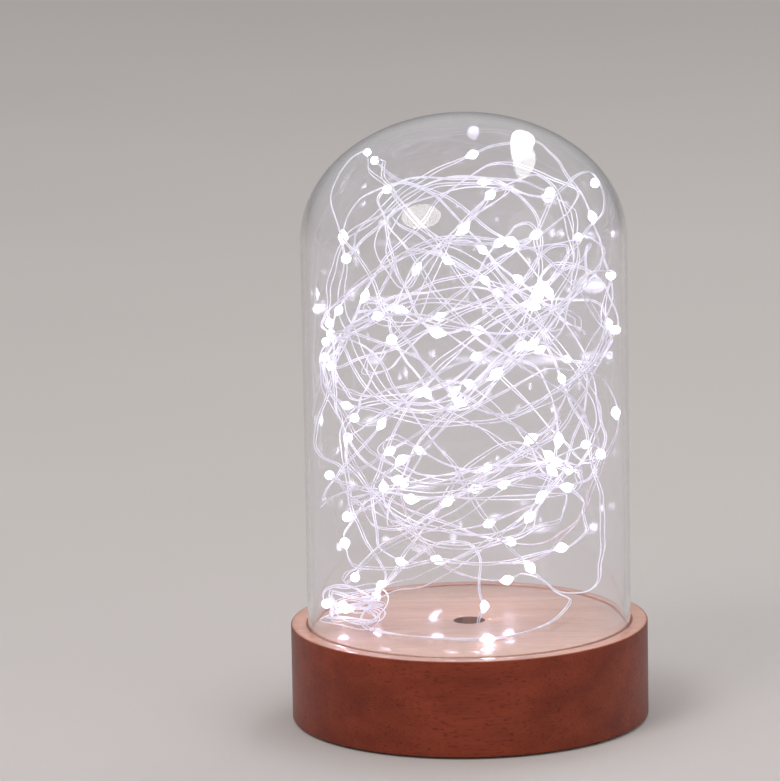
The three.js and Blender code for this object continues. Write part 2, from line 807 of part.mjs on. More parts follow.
place("light_wire", tube(route, wireRadius, 6), "wire");
beadPlaces().forEach((i, count) => {
  const mesh = place(`led_bead_${String(count + 1).padStart(2, "0")}`, bead(), "bead");
  mesh.position.copy(route[i]).add(route[i + 1]).multiplyScalar(0.5);
  const direction = route[i + 1].clone().sub(route[i]).normalize();
  mesh.quaternion.setFromUnitVectors(new THREE.Vector3(0, 1, 0), direction);
});

place("glass_dome", glassDome(), "glass");

export default lantern;
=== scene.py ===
# The looks of a glass-domed light lantern: a turned beech base, a clear dome, and ten metres of
# light wire with a hundred lit resin beads. Metres, +Z up.
import math
import random

import bpy
import numpy as np
from mathutils import Matrix, Vector


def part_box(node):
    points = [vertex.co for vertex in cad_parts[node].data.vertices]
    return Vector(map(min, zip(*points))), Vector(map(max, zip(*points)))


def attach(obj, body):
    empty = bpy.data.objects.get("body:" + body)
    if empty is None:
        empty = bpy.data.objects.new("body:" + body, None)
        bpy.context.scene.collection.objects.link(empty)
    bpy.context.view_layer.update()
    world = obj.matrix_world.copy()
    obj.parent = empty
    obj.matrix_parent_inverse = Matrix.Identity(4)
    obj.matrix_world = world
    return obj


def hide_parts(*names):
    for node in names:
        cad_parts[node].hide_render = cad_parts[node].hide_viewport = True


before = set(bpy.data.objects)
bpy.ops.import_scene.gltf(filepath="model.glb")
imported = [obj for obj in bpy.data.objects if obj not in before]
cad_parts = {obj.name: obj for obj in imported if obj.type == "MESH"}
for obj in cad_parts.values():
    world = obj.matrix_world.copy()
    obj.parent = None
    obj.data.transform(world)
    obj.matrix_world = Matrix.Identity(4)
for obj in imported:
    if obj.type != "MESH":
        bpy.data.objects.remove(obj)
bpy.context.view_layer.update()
MM = 0.001

# Camera: the photograph's, in a picture of 780 by 781 pixels
PICTURE_WIDTH = 780
CAMERA_FOCUS = 5749.5  # focal length in pixels
CAMERA_PLACE = (-0.02528, -1.8836, 0.48054)
CAMERA_PITCH = 0.19322  # downwards, radians
CAMERA_ROLL = 0.01792
SENSOR_WIDTH = 36.0


def make_camera():
    data = bpy.data.cameras.new("camera")
    data.sensor_fit = "HORIZONTAL"
    data.sensor_width = SENSOR_WIDTH
    data.lens = CAMERA_FOCUS * SENSOR_WIDTH / PICTURE_WIDTH
    data.clip_start = 0.05
    data.clip_end = 60
    camera = bpy.data.objects.new("camera", data)
    bpy.context.scene.collection.objects.link(camera)
    tilt = Matrix.Rotation(math.pi / 2 - CAMERA_PITCH, 4, "X")
    roll = Matrix.Rotation(-CAMERA_ROLL, 4, "Z")
    camera.matrix_world = Matrix.Translation(CAMERA_PLACE) @ tilt @ roll
    bpy.context.scene.camera = camera


make_camera()

# Sizes, read from the frame or shared with the solids
wood_low, wood_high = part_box("wood_base")
dome_low, dome_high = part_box("glass_dome")
case_low, case_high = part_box("battery_case")
BASE_RADIUS = wood_high[0]
WOOD_TOP = wood_high[2]
WOOD_BOTTOM = wood_low[2]
DOME_RADIUS = dome_high[0]
DOME_TOP = dome_high[2]
DOME_BOTTOM = dome_low[2]
DOME_WALL = 2 * MM
DOME_CROWN = 41.6 * MM
DOME_BORE = DOME_RADIUS - DOME_WALL
DOME_SHOULDER = DOME_TOP - DOME_CROWN
GROOVE_CLEARANCE = 0.55 * MM
GROOVE_DEPTH = 5.5 * MM
HOLE_RADIUS = 5.25 * MM
FIT = 0.3 * MM
CASE_RADIUS = case_high[0]
CASE_LEDGE = 7.85 * MM
CASE_FACE = 2.4 * MM
WIRE_ROOM = 4.5 * MM  # above the case, where the wire passes to the hole
POCKET_TOP = case_high[2] + WIRE_ROOM
SEAT = 0.1 * MM  # between flat pieces that lie on each other


def link(obj):
    bpy.context.scene.collection.objects.link(obj)
    return obj


def mesh_object(name, verts, faces, material, smooth_angle=math.radians(35)):
    mesh = bpy.data.meshes.new(name)
    mesh.from_pydata([tuple(v) for v in verts], [], faces)
    mesh.update()
    mesh.shade_smooth()
    mesh.set_sharp_from_angle(angle=smooth_angle)
    mesh.materials.append(material)
    return link(bpy.data.objects.new(name, mesh))


def arc(cx, cz, radius, start, end, steps):
    """Points of an arc in a profile, by angle in degrees."""
    turns = [math.radians(start + (end - start) * i / steps) for i in range(steps + 1)]
    return [(cx + radius * math.cos(a), cz + radius * math.sin(a)) for a in turns]


def lathe(name, profile, material, segments=160, closed=False, place=(0, 0, 0)):
    """Turns (radius, height) points about Z. A point on the axis becomes one vertex."""
    verts, rings = [], []
    for radius, height in profile:
        if radius < 1e-7:
            rings.append([len(verts)] * segments)
            verts.append((place[0], place[1], place[2] + height))
            continue
        rings.append(list(range(len(verts), len(verts) + segments)))
        for i in range(segments):
            angle = 2 * math.pi * i / segments
            x, y = radius * math.cos(angle), radius * math.sin(angle)
            verts.append((place[0] + x, place[1] + y, place[2] + height))
    pairs = list(zip(rings, rings[1:] + rings[:1])) if closed else list(zip(rings, rings[1:]))
    faces = []
    for low, high in pairs:
        for i in range(segments):
            j = (i + 1) % segments
            corners = [low[i], low[j], high[j], high[i]]
            face = [c for k, c in enumerate(corners) if c not in corners[:k]]
            if len(face) > 2:
                faces.append(face)
    return mesh_object(name, verts, faces, material)


# Node helpers for the materials
class Shader:
    """A new material's node tree, with short calls to add and join nodes."""

    def __init__(self, name):
        self.material = bpy.data.materials.new(name)
        self.material.use_nodes = True
        self.tree = self.material.node_tree
        self.tree.nodes.clear()
        self.output = self.node("ShaderNodeOutputMaterial")

    def node(self, kind, **settings):
        made = self.tree.nodes.new(kind)
        for key, value in settings.items():
            setattr(made, key, value)
        return made

    def wire(self, source, socket):
        self.tree.links.new(source, socket)

    def principled(self, **sockets):
        made = self.node("ShaderNodeBsdfPrincipled")
        for key, value in sockets.items():
            made.inputs[key.replace("_", " ")].default_value = value
        return made

    def place(self, scale=(1, 1, 1), turn=(0, 0, 0)):
        """Object coordinates, stretched and turned."""
        coordinates = self.node("ShaderNodeTexCoord")
        mapping = self.node("ShaderNodeMapping")
        mapping.inputs["Scale"].default_value = scale
        mapping.inputs["Rotation"].default_value = turn
        self.wire(coordinates.outputs["Object"], mapping.inputs["Vector"])
        return mapping.outputs["Vector"]

    def noise(self, vector, scale, detail=3.0, rough=0.5, distortion=0.0):
        made = self.node("ShaderNodeTexNoise")
        made.inputs["Scale"].default_value = scale
        made.inputs["Detail"].default_value = detail
        made.inputs["Roughness"].default_value = rough
        made.inputs["Distortion"].default_value = distortion
        self.wire(vector, made.inputs["Vector"])
        return made.outputs["Fac"]

    def ramp(self, value, *stops):
        """Colours by value; each stop is (place, colour)."""
        made = self.node("ShaderNodeValToRGB")
        elements = made.color_ramp.elements
        while len(elements) < len(stops):
            elements.new(0.5)
        for element, (position, colour) in zip(elements, stops):
            element.position = position
            element.color = (*colour, 1)
        self.wire(value, made.inputs["Fac"])
        return made.outputs["Color"]

    def span(self, value, low, high, to_low, to_high):
        made = self.node("ShaderNodeMapRange")
        for key, number in zip(("From Min", "From Max", "To Min", "To Max"), (low, high, to_low, to_high)):
            made.inputs[key].default_value = number
        self.wire(value, made.inputs["Value"])
        return made.outputs["Result"]

    def mix_colour(self, share, first, second, mode="MIX"):
        made = self.node("ShaderNodeMix", data_type="RGBA", blend_type=mode)
        for value, index in ((share, 0), (first, 6), (second, 7)):
            socket = made.inputs[index]
            if isinstance(value, (int, float)):
                socket.default_value = value
            elif isinstance(value, tuple):
                socket.default_value = (*value, 1)
            else:
                self.wire(value, socket)
        return made.outputs[2]

    def bump(self, height, strength, distance):
        made = self.node("ShaderNodeBump")
        made.inputs["Strength"].default_value = strength
        made.inputs["Distance"].default_value = distance
        self.wire(height, made.inputs["Height"])
        return made.outputs["Normal"]

    def done(self, shader):
        self.wire(shader.outputs[0], self.output.inputs["Surface"])
        return self.material


def beech_material():
    """Oiled beech: grain along X with short dark flecks. The turned side is painted much darker and
    redder than the face: painted shade on the side that the lamps light less."""
    s = Shader("beech")
    plank = s.noise(s.place((0.10, 1, 1)), 42, 2, 0.5, 0.6)
    bands = s.noise(s.place((0.06, 1, 1.3)), 210, 3, 0.55, 0.3)
    fibres = s.noise(s.place((0.045, 1, 1)), 1900, 3, 0.6)
    flecks = s.noise(s.place((0.16, 1, 1)), 1900, 1.5, 0.45)
    face = s.ramp(plank, (0.30, (0.59, 0.35, 0.26)), (0.70, (0.69, 0.43, 0.325)))
    # painted shade: the turned side is a much darker, redder copy of the face's wood
    side = s.ramp(plank, (0.30, (0.165, 0.024, 0.009)), (0.70, (0.26, 0.044, 0.017)))
    figure = s.noise(s.place((0.3, 1, 1), (0, 0.3, 0)), 150, 2, 0.55, 0.4)
    side = s.mix_colour(s.span(figure, 0.40, 0.62, 0, 0.45), side, (0.68, 0.55, 0.5), "MULTIPLY")
    radius = s.node("ShaderNodeVectorMath", operation="LENGTH")
    s.wire(s.place((1, 1, 0)), radius.inputs[0])
    shaded_side_mask = s.span(radius.outputs["Value"], BASE_RADIUS - 0.9 * MM, BASE_RADIUS - 0.1 * MM, 0, 1)
    # painted shade: the face outside the glass is painted darker and redder than the face under the dome,
    # which the beads light
    rim = s.span(radius.outputs["Value"], DOME_RADIUS, DOME_RADIUS + 0.5 * MM, 0, 1)
    # painted shade: the wire hole's wall and edge are painted dark brown
    painted_hole_shade = s.span(radius.outputs["Value"], HOLE_RADIUS, HOLE_RADIUS + 0.2 * MM, 0.8, 0)
    face = s.mix_colour(rim, face, (0.95, 0.80, 0.76), "MULTIPLY")
    tone = s.mix_colour(painted_hole_shade, s.mix_colour(shaded_side_mask, face, side), (0.12, 0.06, 0.04))
    banded = s.mix_colour(s.span(bands, 0.42, 0.62, 0, 0.3), tone, (0.76, 0.66, 0.60), "MULTIPLY")
    fine = s.mix_colour(s.span(fibres, 0.40, 0.66, 0, 0.35), banded, (0.70, 0.58, 0.52), "MULTIPLY")
    fleck_share = s.node("ShaderNodeMath", operation="MULTIPLY")
    s.wire(s.span(flecks, 0.60, 0.68, 0, 1), fleck_share.inputs[0])
    s.wire(s.span(shaded_side_mask, 0, 1, 0.2, 0.7), fleck_share.inputs[1])
    colour = s.mix_colour(fleck_share.outputs[0], fine, (0.42, 0.32, 0.28), "MULTIPLY")
    shader = s.principled(IOR=1.36, Coat_Roughness=0.09)
    s.wire(s.span(shaded_side_mask, 0, 1, 0.7, 0.04), shader.inputs["Coat Weight"])
    s.wire(colour, shader.inputs["Base Color"])
    s.wire(s.span(fibres, 0.3, 0.7, 0.34, 0.5), shader.inputs["Roughness"])
    s.wire(s.bump(fibres, 0.15, 0.0001), shader.inputs["Normal"])
    return s.done(shader)


def glass_material():
    """Clear glass with a trace of haze. Light passes straight through it to what it lights."""
    s = Shader("dome_glass")
    glass = s.principled(Base_Color=(0.985, 0.985, 1, 1), Roughness=0, IOR=1.46, Transmission_Weight=1)
    haze = s.node("ShaderNodeBsdfTranslucent")
    haze.inputs["Color"].default_value = (0.88, 0.86, 1, 1)
    hazed = s.node("ShaderNodeMixShader")
    s.wire(s.span(s.noise(s.place((1, 1, 0.6)), 28, 4, 0.6), 0.3, 0.75, 0.004, 0.016), hazed.inputs["Fac"])
    s.wire(glass.outputs[0], hazed.inputs[1])
    s.wire(haze.outputs[0], hazed.inputs[2])
    clear = s.node("ShaderNodeBsdfTransparent")
    clear.inputs["Color"].default_value = (0.93, 0.935, 0.95, 1)
    rays = s.node("ShaderNodeLightPath")
    lighting = s.node("ShaderNodeMath", operation="MAXIMUM")
    s.wire(rays.outputs["Is Shadow Ray"], lighting.inputs[0])
    s.wire(rays.outputs["Is Diffuse Ray"], lighting.inputs[1])
    chosen = s.node("ShaderNodeMixShader")
    s.wire(lighting.outputs[0], chosen.inputs["Fac"])
    s.wire(hazed.outputs[0], chosen.inputs[1])
    s.wire(clear.outputs[0], chosen.inputs[2])
    return s.done(chosen)


LIGHT_COLOUR = (0.80, 0.76, 1.0, 1)
CHIP_STRENGTH = 80


def wire_material():
    """Silver-coloured wire in a clear coat, with a faint lavender glow that is painted light from the
    beads.
    """
    s = Shader("wire_coating")
    shader = s.principled(Metallic=0.35, Roughness=0.3, Coat_Weight=0.5, Coat_Roughness=0.12)
    # painted light: a faint lavender glow on the wire, standing in for the beads' light falling on it
    shader.inputs["Emission Color"].default_value = LIGHT_COLOUR
    shader.inputs["Emission Strength"].default_value = 0.15
    tint = s.noise(s.place(), 260, 2)
    s.wire(s.ramp(tint, (0.3, (0.74, 0.72, 0.79)), (0.7, (0.93, 0.92, 0.96))), shader.inputs["Base Color"])
    s.wire(s.bump(s.noise(s.place(), 2400, 2), 0.2, 0.00005), shader.inputs["Normal"])
    return s.done(shader)


def bead_material():
    """A drop of clear resin, lit from within."""
    s = Shader("resin_bead")
    shader = s.principled(Base_Color=(0.9, 0.88, 1, 1), Roughness=0.12, Alpha=0.5, Coat_Weight=1)
    shader.inputs["Emission Color"].default_value = LIGHT_COLOUR
    cloud = s.noise(s.place(), 700, 2)
    s.wire(s.span(cloud, 0.35, 0.65, 3.5, 7), shader.inputs["Emission Strength"])
    return s.done(shader)


def chip_material():
    """The lit chip in the middle of a drop."""
    s = Shader("lit_chip")
    shader = s.principled(Base_Color=(0.9, 0.9, 0.9, 1), Roughness=0.4)
    shader.inputs["Emission Color"].default_value = (0.93, 0.91, 1.0, 1)
    shader.inputs["Emission Strength"].default_value = CHIP_STRENGTH
    return s.done(shader)


def plastic_material(name, colour, darker, rough=0.45):
    """Moulded plastic with a fine spark texture."""
    s = Shader(name)
    shader = s.principled(IOR=1.46)
    cloud = s.noise(s.place(), 60, 3)
    s.wire(s.ramp(cloud, (0.35, darker), (0.65, colour)), shader.inputs["Base Color"])
    s.wire(s.span(cloud, 0.3, 0.7, rough - 0.06, rough + 0.08), shader.inputs["Roughness"])
    s.wire(s.bump(s.noise(s.place(), 3200, 2), 0.25, 0.00006), shader.inputs["Normal"])
    return s.done(shader)


def rubber_material():
    s = Shader("foot_rubber")
    shader = s.principled(IOR=1.5)
    dust = s.noise(s.place(), 420, 4, 0.65)
    colour = s.ramp(dust, (0.4, (0.018, 0.017, 0.017)), (0.75, (0.055, 0.05, 0.048)))
    s.wire(colour, shader.inputs["Base Color"])
    s.wire(s.span(dust, 0.3, 0.7, 0.7, 0.9), shader.inputs["Roughness"])
    s.wire(s.bump(s.noise(s.place(), 4200, 3), 0.35, 0.0001), shader.inputs["Normal"])
    return s.done(shader)


def metal_material(name, colour, duller, rough, stretch=(1, 1, 1)):
    """Plated or drawn metal with fine marks along one direction."""
    s = Shader(name)
    shader = s.principled(Metallic=1)
    marks = s.noise(s.place(stretch), 900, 4, 0.65)
    s.wire(s.ramp(marks, (0.3, duller), (0.7, colour)), shader.inputs["Base Color"])
    s.wire(s.span(marks, 0.3, 0.7, rough - 0.06, rough + 0.1), shader.inputs["Roughness"])
    s.wire(s.bump(marks, 0.12, 0.00004), shader.inputs["Normal"])
    return s.done(shader)


def board_material():
    """Green solder mask over faint copper tracks."""
    s = Shader("board_laminate")
    shader = s.principled(Roughness=0.28, Coat_Weight=0.5, Coat_Roughness=0.15)
    tracks = s.node("ShaderNodeTexBrick")
    tracks.inputs["Scale"].default_value = 260
    tracks.inputs["Mortar Size"].default_value = 0.05
    tracks.inputs["Color1"].default_value = (0.012, 0.085, 0.035, 1)
    tracks.inputs["Color2"].default_value = (0.014, 0.10, 0.042, 1)
    tracks.inputs["Mortar"].default_value = (0.03, 0.18, 0.075, 1)
    s.wire(s.place(), tracks.inputs["Vector"])
    s.wire(tracks.outputs["Color"], shader.inputs["Base Color"])
    s.wire(s.bump(tracks.outputs["Fac"], 0.3, 0.00003), shader.inputs["Normal"])
    return s.done(shader)


def cell_material():
    """A plain shrink sleeve: a coloured body with a bright end, by place along the cell."""
    s = Shader("cell_sleeve")
    shader = s.principled(Metallic=0.25, Coat_Weight=0.8, Coat_Roughness=0.08)
    along = s.node("ShaderNodeSeparateXYZ")
    s.wire(s.place(), along.inputs[0])
    wear = s.noise(s.place((1, 0.2, 1)), 500, 3)
    body = s.ramp(wear, (0.3, (0.02, 0.09, 0.22)), (0.7, (0.03, 0.13, 0.30)))
    band = s.span(along.outputs["Y"], 0.0139, 0.0141, 0, 1)
    s.wire(s.mix_colour(band, body, (0.72, 0.72, 0.70)), shader.inputs["Base Color"])
    s.wire(s.span(wear, 0.3, 0.7, 0.18, 0.34), shader.inputs["Roughness"])
    return s.done(shader)


BEECH = beech_material()
GLASS = glass_material()
WIRE = wire_material()
BEAD = bead_material()
CHIP = chip_material()
RUBBER = rubber_material()
CASE_PLASTIC = plastic_material("case_plastic", (0.80, 0.77, 0.71), (0.73, 0.70, 0.64))
DOOR_PLASTIC = plastic_material("door_plastic", (0.80, 0.77, 0.71), (0.74, 0.71, 0.65), 0.42)
BLACK_PLASTIC = plastic_material("slider_black", (0.035, 0.035, 0.038), (0.02, 0.02, 0.022), 0.4)
CHIP_PLASTIC = plastic_material("chip_black", (0.03, 0.03, 0.033), (0.018, 0.018, 0.02), 0.5)
RED_PLASTIC = plastic_material("lead_red", (0.55, 0.03, 0.025), (0.42, 0.02, 0.02), 0.35)
LEAD_BLACK = plastic_material("lead_black", (0.03, 0.03, 0.03), (0.02, 0.02, 0.02), 0.35)
STEEL = metal_material("screw_steel", (0.66, 0.66, 0.68), (0.5, 0.5, 0.52), 0.28)
NICKEL = metal_material("contact_nickel", (0.74, 0.71, 0.64), (0.6, 0.57, 0.5), 0.22, (1, 0.2, 1))
SWITCH_STEEL = metal_material("switch_steel", (0.7, 0.7, 0.71), (0.55, 0.55, 0.56), 0.3, (1, 0.1, 1))
CAN = metal_material("capacitor_can", (0.75, 0.76, 0.78), (0.62, 0.63, 0.66), 0.3)
BOARD = board_material()
CELL = cell_material()


# Wooden base: one closed profile, from the wire hole over the top, down the side and into the pocket
def wood_base():
    arris = 0.5 * MM
    soft = 0.25 * MM
    groove_outer = DOME_RADIUS + GROOVE_CLEARANCE
    groove_inner = DOME_BORE - GROOVE_CLEARANCE
    groove_floor = WOOD_TOP - GROOVE_DEPTH
    recess_radius = CASE_RADIUS + FIT
    recess_top = case_low[2] + CASE_FACE + SEAT
    pocket_radius = CASE_RADIUS - CASE_LEDGE
    profile = [(HOLE_RADIUS, POCKET_TOP)]
    profile += arc(HOLE_RADIUS + soft, WOOD_TOP - soft, soft, 180, 90, 3)
    profile += arc(groove_inner - soft, WOOD_TOP - soft, soft, 90, 0, 3)
    profile += [(groove_inner, groove_floor), (groove_outer, groove_floor)]
    profile += arc(groove_outer + soft, WOOD_TOP - soft, soft, 180, 90, 3)
    profile += arc(BASE_RADIUS - arris, WOOD_TOP - arris, arris, 90, 0, 4)
    profile += arc(BASE_RADIUS - arris, WOOD_BOTTOM + arris, arris, 0, -90, 4)
    profile += arc(recess_radius + soft, WOOD_BOTTOM + soft, soft, -90, -180, 2)
    profile += [(recess_radius, recess_top), (pocket_radius, recess_top), (pocket_radius, POCKET_TOP)]
    base = lathe("wood_base_turned", profile[::-1], BEECH, 200, closed=True)
    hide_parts("wood_base")
    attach(base, "base")


# Glass dome: the wall's two faces joined by a rounded rim
def glass_dome():
    rim = DOME_WALL / 2
    steps = 40
    inner, outer = [], []
    for i in range(steps + 1):
        a = math.pi / 2 * i / steps
        inner.append((DOME_BORE * math.cos(a), DOME_SHOULDER + (DOME_CROWN - DOME_WALL) * math.sin(a)))
        outer.append((DOME_RADIUS * math.cos(a), DOME_SHOULDER + DOME_CROWN * math.sin(a)))
    inner[-1] = (0, inner[-1][1])
    outer[-1] = (0, outer[-1][1])
    wall = 10
    heights = [DOME_BOTTOM + rim + (DOME_SHOULDER - DOME_BOTTOM - rim) * i / wall for i in range(wall)]
    profile = inner[::-1] + [(DOME_BORE, z) for z in heights[::-1]]
    profile += arc(DOME_BORE + rim, DOME_BOTTOM + rim, rim, 180, 360, 10)[1:-1]
    profile += [(DOME_RADIUS, z) for z in heights] + outer
    dome = lathe("dome_blown_glass", profile, GLASS, 256)
    dome.data.set_sharp_from_angle(angle=math.pi)
    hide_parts("glass_dome")
    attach(dome, "dome")


# Light wire: the same way as the solid's, then on in wide loops until it is about ten metres long
LOW_LOOPS = 11
HIGH_LOOPS = 12
LOOP_SPACING = 1.9
GLASS_TO_WIRE = 2
TANGLE_TURN = 0.9
TANGLE_FRONT = 1.1
TANGLE_FLOOR = 5.4  # height of the lowest loop above the wood
TANGLE_LIFT = 21  # how much higher the loops stay over the front of the wood
TANGLE_SPLIT = 75  # height above the wood where the two halves meet
TANGLE_SPLIT_TILT = 17
TANGLE_CROWN = 44  # how far up the crown the highest loop climbs, along the glass
EXTRA_LOOPS = 11
WIDE_RADIUS = 48.5
WIDE_MIDDLE = 136
WIDE_LEAN = 33  # how far a wide loop leans up and down
WIDE_RISE = 35.5  # of the highest wide loop, above the dome's shoulder
WIDE_FLOOR = 9  # least height of a wide loop above the wood
SAG_DEPTH = 44
SAG_LOOP = 4.6  # the wide loop that sags most
SAG_WIDTH = 1.3  # in loops
HEAP_TURNS = 7
HEAP_X, HEAP_Y = -38.5, -9
HEAP_WIDTH, HEAP_DEPTH = 8.2, 12  # from the heap's middle, across and back
HEAP_HEIGHT = 12
HEAP_FALL = 1.2  # with each turn
LYING_HEIGHT = 2.0  # of the wire's middle above the wood
LOOP_STEPS = 110  # points in each loop, before the route is evened out
HEAP_STEPS = 60
LEAD_STEPS = 14
TAIL_STEPS = 30
ROUTE_STEP = 1.8  # between two points of the route, in millimetres
LYING_LENGTH = 0.26  # of the stretch near the wood, before the wire rises
WIRE_SEED = 11
BEAD_COUNT = 100
BEAD_PITCH = 0.1
BEAD_RADIUS = 1.65 * MM
BEAD_HALF = 3.1 * MM
CHIP_RADIUS = 0.85 * MM
CHIP_HALF = 1.3 * MM
WIRE_TO_GLASS = 0.9 * MM
BEAD_TO_GLASS = 2.2 * MM  # from a bead's middle


def ease(x):
    share = np.clip(x, 0, 1)
    return share * share * (3 - 2 * share)


def soft_least(value, limit, width):
    """The value, held under a limit that it nears smoothly."""
    return limit - width * np.logaddexp(0, (limit - value) / width)


def tangle(loops):
    """Places in the tangle in millimetres, by the number of loops from its start."""
    wood, bore = WOOD_TOP / MM, DOME_BORE / MM
    shoulder, crown = DOME_SHOULDER / MM, (DOME_CROWN - DOME_WALL) / MM
    angle = 2 * np.pi * loops + TANGLE_TURN
    depth = LOOP_SPACING * np.abs(loops - LOW_LOOPS)
    high = ease((loops - LOW_LOOPS + 0.45) / 0.9)
    lean_share = (0.5 - 0.1 * high) * (1 + 0.35 * np.sin(1.9 * loops + 0.6))
    lean = lean_share * np.sin(angle + 2.35 * loops + 0.9 * np.sin(0.83 * loops) - 2.4)
    drift = 0.5 * np.sin(1.37 * loops - 1.2) + 0.18 * np.sin(2.9 * loops - 1)
    bend = 0.09 * np.sin(2 * angle + 1.1 * loops) + 0.045 * np.sin(3 * angle - 0.7 * loops)
    wander = np.tanh(1.15 * (lean + drift + bend)) / math.tanh(1.15 * 1.15)
    share = 0.5 + 0.5 * np.clip(wander, -1, 1)
    split = wood + TANGLE_SPLIT + TANGLE_SPLIT_TILT * np.sin(angle + 0.6)
    apart = LOOP_SPACING * 0.6
    lift = TANGLE_LIFT * (0.5 + 0.5 * np.cos(angle + TANGLE_FRONT))
    bottom = (wood + TANGLE_FLOOR + lift) * (1 - high) + (split + apart) * high
    top = (split - apart) * (1 - high) + (shoulder + TANGLE_CROWN) * high
    height = bottom + (top - bottom) * share
    room = GLASS_TO_WIRE + 0.5
    climb = np.maximum(height - shoulder, 0) / (crown - GLASS_TO_WIRE)
    z = np.where(climb > 0, shoulder + (crown - room - depth) * np.sin(climb), height)
    squeeze = 1 - 0.08 * (0.5 + 0.5 * np.sin(2 * angle + z / 24))
    radius = (bore - room - depth) * squeeze * np.cos(climb)
    return np.stack([radius * np.cos(angle), radius * np.sin(angle), z], -1)


def wide_loops(loops):
    """Places of the loops that follow the tangle's end, wide and mostly high under the crown."""
    shoulder, crown = DOME_SHOULDER / MM, (DOME_CROWN - DOME_WALL) / MM
    angle = 2 * np.pi * loops + TANGLE_TURN
    after = loops - LOW_LOOPS - HIGH_LOOPS
    radius = WIDE_RADIUS + 3.5 * np.sin(2.3 * after + 0.4) + 3 * np.sin(2 * angle + 1.9 * after)
    sag = SAG_DEPTH * np.exp(-(((after - SAG_LOOP) / SAG_WIDTH) ** 2))
    middle = WIDE_MIDDLE + 24 * np.sin(0.9 * after + 2.2) + 9 * np.sin(2.6 * after) - sag
    lean = WIDE_LEAN + 14 * np.sin(1.6 * after + 1)
    z = middle + lean * np.sin(angle + 2.4 * after) + 6 * np.sin(2 * angle - 1.3 * after)
    highest = shoulder + WIDE_RISE - 1.5 * np.sin(1.7 * after)
    z = -soft_least(-soft_least(z, highest, 4), -(WOOD_TOP / MM + WIDE_FLOOR), 3)
    room = (DOME_BORE / MM - 1.2) * np.sqrt(1 - np.clip((z - shoulder) / (crown - 2), 0, 0.97) ** 2)
    radius = soft_least(radius, room, 0.7)
    spread = np.stack([radius * np.cos(angle), radius * np.sin(angle), z], -1)
    join = ease(after / 0.9)[:, None]
    return tangle(loops) * (1 - join) + spread * join


def centripetal(points, count):
    """A smooth curve through the points, with count steps in each stretch."""
    p = np.array(points, float)
    p = np.vstack([2 * p[0] - p[1], p, 2 * p[-1] - p[-2]])
    out = []
    for i in range(1, len(p) - 2):
        t = [0.0]
        for a, b in ((i - 1, i), (i, i + 1), (i + 1, i + 2)):
            t.append(t[-1] + math.sqrt(np.linalg.norm(p[b] - p[a])))
        s = np.linspace(t[1], t[2], count, endpoint=False)[:, None]
        near = [
            (p[i - 1 + k] * (t[k + 1] - s) + p[i + k] * (s - t[k])) / (t[k + 1] - t[k])
            for k in range(3)
        ]
        far = [
            (near[k] * (t[k + 2] - s) + near[k + 1] * (s - t[k])) / (t[k + 2] - t[k])
            for k in range(2)
        ]
        out.append((far[0] * (t[2] - s) + far[1] * (s - t[1])) / (t[2] - t[1]))
    return np.vstack(out + [p[-2:-1]])


def lead_in_points():
    """The wire's way from the board through the hole and once around on the wood, in millimetres."""
    wood = WOOD_TOP / MM
    board_x = (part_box("circuit_board")[0][0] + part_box("circuit_board")[1][0]) / 2 / MM
    board_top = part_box("circuit_board")[1][2] / MM
    passing = (case_high[2] + POCKET_TOP) / 2 / MM
    pocket = POCKET_TOP / MM
    lying = wood + LYING_HEIGHT
    start = tangle(np.array([0.0]))[0]
    hidden = [
        (board_x - 3, 0, board_top + 0.1),
        (board_x - 3, 0, board_top + 1.1),
        (board_x - 3, 0, board_top + 5.1),
        (board_x - 5, 0.6, passing - 1.4),
        (19, 1.4, passing),
        (10, 1.2, passing - 0.2),
        (5, 0.8, passing + 0.5),
        (3, 0.4, pocket + 2),
        (2.8, 0.2, wood - 2),
    ]
    shown = [
        (3.6, 0, wood + 1.5),
        (5.2, -0.6, wood + 5.5),
        (5.2, 0, wood + 11),
        (4.6, 1.6, wood + 17),
        (0, 5, wood + 21.3),
        (-10, 9, wood + 21),
        (-21, 11, wood + 15),
        (-31, 8, wood + 6),
        (-36, -1, lying + 0.6),
        (-34, -16, lying),
        (-21, -28, lying),
        (-6, -34, lying),
        (8, -34, lying),
        (20, -24, lying),
        (29, -10, lying + 0.5),
        (34, 4, lying + 4),
        (29, 15, wood + 9),
        tuple(start),
    ]
    return hidden, shown


def arc_lengths(points):
    steps = np.linalg.norm(np.diff(points, axis=0), axis=1)
    return np.concatenate([[0], np.cumsum(steps)])


def resample(points, spacing):
    along = arc_lengths(points)
    targets = np.arange(0, along[-1], spacing)
    return np.stack([np.interp(targets, along, points[:, k]) for k in range(3)], -1)


def heap(turns):
    """Places of the last loops of the wire, which lie in a small heap at the left."""
    angle = 2 * np.pi * turns + 1.2
    x = HEAP_X + (HEAP_WIDTH + 1.5 * np.sin(2.3 * turns)) * np.cos(angle)
    y = HEAP_Y + (HEAP_DEPTH + 2 * np.sin(1.7 * turns + 1)) * np.sin(angle)
    z = WOOD_TOP / MM + HEAP_HEIGHT - HEAP_FALL * turns + 1.2 * np.sin(2 * angle + turns)
    return np.stack([x, y, np.maximum(z, WOOD_TOP / MM + 2.2)], -1)


def stretches(marks, count):
    """The first and last indices of the stretches that the marks part a route of count points into."""
    stops = [0, *marks, count - 1]
    return [(start, end) for start, end in zip(stops, stops[1:]) if end > start]


def keep_inside(points, gap):
    """Points in metres, drawn in where they come nearer to the glass than the gap."""
    rise = np.maximum(points[:, 2] - DOME_SHOULDER, 0)
    bore = DOME_BORE - gap
    crown = DOME_CROWN - DOME_WALL - gap
    reach = np.hypot(np.hypot(points[:, 0], points[:, 1]) / bore, rise / crown)
    share = soft_least(reach, 1, 0.008) / np.maximum(reach, 0.01)
    out = points * share[:, None]
    out[:, 2] = points[:, 2] - rise * (1 - share)
    return out


